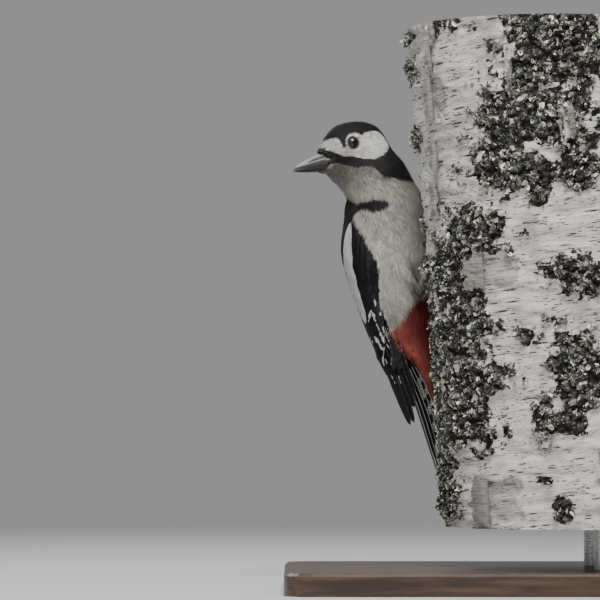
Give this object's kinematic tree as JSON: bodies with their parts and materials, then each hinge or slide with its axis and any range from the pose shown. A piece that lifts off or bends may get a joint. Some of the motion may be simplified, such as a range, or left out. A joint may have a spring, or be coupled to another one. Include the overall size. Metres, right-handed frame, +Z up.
{
  "type": "great spotted woodpecker, still life-size model",
  "caption": "A great spotted woodpecker clings to the side of a cut birch log with its head turned back, on a plain display stand.",
  "frame": {"origin": "centre of the stand's underside", "axes": "+Z up; -Y is the side the bird is seen best from; -X is the side of the log that the bird clings to"},
  "size_m": [0.242, 0.19, 0.303],
  "materials": {
    "plumage_black": "glossy blue-black feathers",
    "plumage_white": "white feathers with black bars",
    "plumage_buff": "buffish white loose feathers",
    "plumage_crimson": "crimson loose feathers under a black rump",
    "eye": "wet gloss, dark red-brown iris and black pupil",
    "bill": "worn slate-grey horn",
    "leg_scales": "grey scaly skin",
    "claw": "dark polished horn",
    "bark": "papery white birch bark with dark fissures and lichen",
    "stand_wood": "satin dark-stained hardwood",
    "stand_steel": "brushed"
  },
  "bodies": {
    "root": {"head": "plumage_black", "neck": "plumage_black", "breast": "plumage_buff", "belly": "plumage_buff", "rump": "plumage_crimson", "undertail": "plumage_crimson", "eye_left": "eye", "eye_right": "eye", "bill_upper": "bill", "bill_lower": "bill", "wing_left_coverts": "plumage_black", "wing_left_secondaries": "plumage_black", "wing_left_primary_1": "plumage_black", "wing_left_primary_2": "plumage_black", "wing_left_primary_3": "plumage_black", "wing_left_primary_4": "plumage_black", "tail_left_1": "plumage_black", "tail_left_2": "plumage_black", "tail_left_3": "plumage_black", "tail_left_4": "plumage_white", "tail_left_5": "plumage_white", "thigh_left": "plumage_buff", "foot_left": "leg_scales", "claw_left_1": "claw", "claw_left_2": "claw", "claw_left_3": "claw", "claw_left_4": "claw", "wing_right_coverts": "plumage_black", "wing_right_secondaries": "plumage_black", "wing_right_primary_1": "plumage_black", "wing_right_primary_2": "plumage_black", "wing_right_primary_3": "plumage_black", "wing_right_primary_4": "plumage_black", "tail_right_1": "plumage_black", "tail_right_2": "plumage_black", "tail_right_3": "plumage_black", "tail_right_4": "plumage_white", "tail_right_5": "plumage_white", "thigh_right": "plumage_buff", "foot_right": "leg_scales", "claw_right_1": "claw", "claw_right_2": "claw", "claw_right_3": "claw", "claw_right_4": "claw", "perch_log": "bark", "stand_base": "stand_wood", "stand_rod_1": "stand_steel", "stand_rod_2": "stand_steel"}
  },
  "joints": []
}
